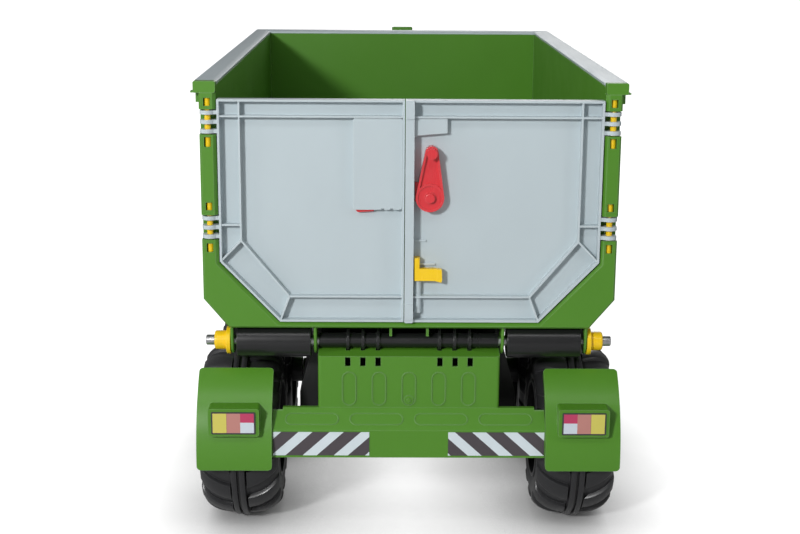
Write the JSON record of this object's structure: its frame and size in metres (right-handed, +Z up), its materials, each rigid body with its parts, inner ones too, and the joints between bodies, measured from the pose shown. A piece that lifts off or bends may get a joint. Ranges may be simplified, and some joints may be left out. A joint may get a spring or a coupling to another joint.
{
  "type": "tipping trailer",
  "caption": "Child's tandem-axle tractor trailer: trough-shaped tipping tub, wing rear doors with lever latch and bolt, drawbar with hitch eye.",
  "frame": {"origin": "on the ground under the middle of the trailer's bounding box", "axes": "+Y the way it is pulled, +X its right side, +Z up and along the hitch eye's bore"},
  "size_m": [0.496, 0.96, 0.544],
  "materials": {
    "green_plastic": "semi-gloss moulded plastic",
    "grey_plastic": "satin moulded plastic",
    "red_plastic": "semi-gloss moulded plastic",
    "wheel_rim": "satin moulded plastic",
    "yellow_plastic": "semi-gloss moulded plastic",
    "black_plastic": "satin moulded plastic",
    "rest_pad": "soft rubber",
    "steel": "zinc plated",
    "tyre": "dull blow-moulded plastic with a soft sheen",
    "stripe": "printed film, dark and light diagonal bars",
    "lamp_lens": "printed film in three colours with a dark border"
  },
  "bodies": {
    "chassis": {"chassis_frame": "black_plastic", "axle_carrier_left": "black_plastic", "axle_carrier_right": "black_plastic", "axle_rear": "steel", "axle_front": "steel", "hub_caps": "yellow_plastic", "carrier_bolts": "steel", "drawbar": "black_plastic", "drawbar_bolts": "steel", "hitch_bush": "steel", "lock_keeper": "black_plastic", "rest_pads": "rest_pad", "rear_housing": "green_plastic", "housing_screw": "steel", "rear_bumper": "green_plastic", "stripe_panel_left": "stripe", "stripe_panel_right": "stripe", "fender_left": "green_plastic", "fender_right": "green_plastic", "lamp_lens_left": "lamp_lens", "lamp_lens_right": "lamp_lens", "pivot_tube": "black_plastic"},
    "tub": {"tub_shell": "green_plastic", "rim_strip_left": "grey_plastic", "rim_strip_right": "grey_plastic", "rim_strip_front": "grey_plastic", "corner_cap_left": "green_plastic", "corner_cap_right": "green_plastic", "hinge_pin_left": "yellow_plastic", "hinge_pin_right": "yellow_plastic", "pivot_bracket_left": "green_plastic", "pivot_bracket_right": "green_plastic", "spacer_sleeve_left": "black_plastic", "spacer_sleeve_right": "black_plastic", "pivot_hub_left": "yellow_plastic", "pivot_hub_right": "yellow_plastic", "pivot_rod": "steel", "lock_guides": "green_plastic"},
    "left_door": {"door_left": "grey_plastic", "latch_cover_left": "grey_plastic", "latch_catch": "red_plastic"},
    "right_door": {"door_right": "grey_plastic", "latch_cover_right": "grey_plastic", "lever_cap": "red_plastic"},
    "latch": {"latch_lever": "red_plastic"},
    "bolt": {"slide_bolt": "yellow_plastic"},
    "tub_lock": {"lock_rod": "green_plastic"},
    "wheel_rear_left": {"tyre_rear_left": "tyre", "wheel_rim_rear_left": "wheel_rim"},
    "wheel_rear_right": {"tyre_rear_right": "tyre", "wheel_rim_rear_right": "wheel_rim"},
    "wheel_front_left": {"tyre_front_left": "tyre", "wheel_rim_front_left": "wheel_rim"},
    "wheel_front_right": {"tyre_front_right": "tyre", "wheel_rim_front_right": "wheel_rim"}
  },
  "joints": [
    {"name": "tub_tip", "type": "hinge", "parent": "chassis", "child": "tub", "pos_m": [0, -0.422, 0.2375], "axis": [1, 0, 0], "range_deg": [0, 45]},
    {"name": "left_door_swing", "type": "hinge", "parent": "tub", "child": "left_door", "pos_m": [-0.226, -0.438, 0.4], "axis": [0, 0, -1], "range_deg": [0, 180]},
    {"name": "right_door_swing", "type": "hinge", "parent": "tub", "child": "right_door", "pos_m": [0.226, -0.438, 0.4], "axis": [0, 0, 1], "range_deg": [0, 180]},
    {"name": "latch_turn", "type": "hinge", "parent": "right_door", "child": "latch", "pos_m": [0.0221, -0.444, 0.4104], "axis": [0, 1, 0], "range_deg": [0, 90]},
    {"name": "bolt_lift", "type": "slide", "parent": "right_door", "child": "bolt", "axis": [0, 0, 1], "range_m": [0, 0.015]},
    {"name": "tub_lock_turn", "type": "hinge", "parent": "tub", "child": "tub_lock", "pos_m": [0, 0.388, 0.4], "axis": [0, 0, 1], "range_deg": [0, 90]},
    {"name": "rear_left_wheel_spin", "type": "hinge", "parent": "chassis", "child": "wheel_rear_left", "pos_m": [0, -0.354, 0.1065], "axis": [1, 0, 0], "continuous": true},
    {"name": "rear_right_wheel_spin", "type": "hinge", "parent": "chassis", "child": "wheel_rear_right", "pos_m": [0, -0.354, 0.1065], "axis": [1, 0, 0], "continuous": true},
    {"name": "front_left_wheel_spin", "type": "hinge", "parent": "chassis", "child": "wheel_front_left", "pos_m": [0, -0.119, 0.1065], "axis": [1, 0, 0], "continuous": true},
    {"name": "front_right_wheel_spin", "type": "hinge", "parent": "chassis", "child": "wheel_front_right", "pos_m": [0, -0.119, 0.1065], "axis": [1, 0, 0], "continuous": true}
  ]
}
